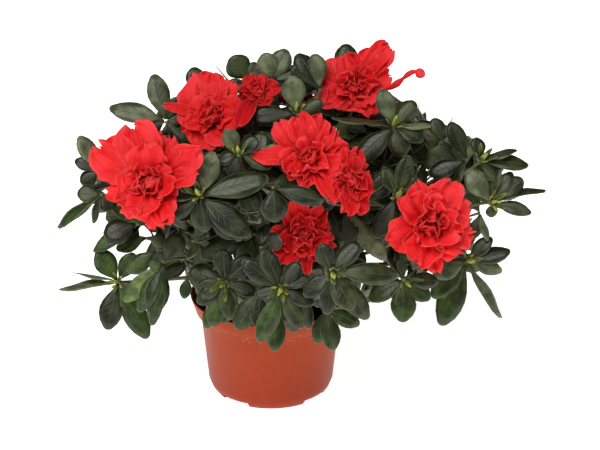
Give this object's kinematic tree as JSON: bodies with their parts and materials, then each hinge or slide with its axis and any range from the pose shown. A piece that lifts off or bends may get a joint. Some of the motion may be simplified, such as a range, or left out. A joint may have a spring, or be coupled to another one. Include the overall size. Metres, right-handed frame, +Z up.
{
  "type": "potted azalea shrub in bloom",
  "caption": "Low, wide pot azalea with whorled dark green leaves and double red blooms, standing in a round terracotta-coloured plastic pot with a rolled lip and a notched foot.",
  "frame": {"origin": "middle of the flat underside of the pot, on the surface that it stands on", "axes": "+Z up along the pot's axis, -Y towards the viewer of the picture, +X to that viewer's right"},
  "size_m": [0.3548, 0.2823, 0.2702],
  "materials": {
    "pot": "satin",
    "soil": "matte",
    "bark": "matte",
    "leaf": "matte",
    "petal": "matte"
  },
  "bodies": {
    "root": {"pot": "pot", "soil": "soil", "trunk": "bark", "bough_front_low": "bark", "bough_front_low_left": "bark", "bough_front_low_right": "bark", "bough_left_low_front": "bark", "bough_left_low": "bark", "bough_left": "bark", "bough_right_low": "bark", "bough_right_low_front": "bark", "bough_right": "bark", "bough_right_upper": "bark", "bough_mid_left": "bark", "bough_mid_right": "bark", "bough_upper_front": "bark", "bough_upper_left": "bark", "bough_upper_right": "bark", "bough_top": "bark", "bough_top_left": "bark", "bough_top_right": "bark", "bough_back_left": "bark", "bough_back": "bark", "bough_back_right": "bark", "bough_back_high": "bark", "bloom_left": "petal", "bloom_upper_left": "petal", "bloom_top_small": "petal", "bloom_centre": "petal", "bloom_centre_right": "petal", "bloom_top_right": "petal", "bloom_right": "petal", "bloom_low": "petal", "bloom_back": "petal", "bloom_back_left": "petal", "bloom_back_right": "petal", "bloom_back_top": "petal", "foliage_front_low": "leaf", "foliage_front_low_left": "leaf", "foliage_front_low_right": "leaf", "foliage_left_low_front": "leaf", "foliage_left_low": "leaf", "foliage_left": "leaf", "foliage_right_low": "leaf", "foliage_right_low_front": "leaf", "foliage_right": "leaf", "foliage_right_upper": "leaf", "foliage_mid_left": "leaf", "foliage_mid_right": "leaf", "foliage_upper_front": "leaf", "foliage_upper_left": "leaf", "foliage_upper_right": "leaf", "foliage_top": "leaf", "foliage_top_left": "leaf", "foliage_top_right": "leaf", "foliage_back_left": "leaf", "foliage_back": "leaf", "foliage_back_right": "leaf", "foliage_back_high": "leaf"}
  },
  "joints": []
}
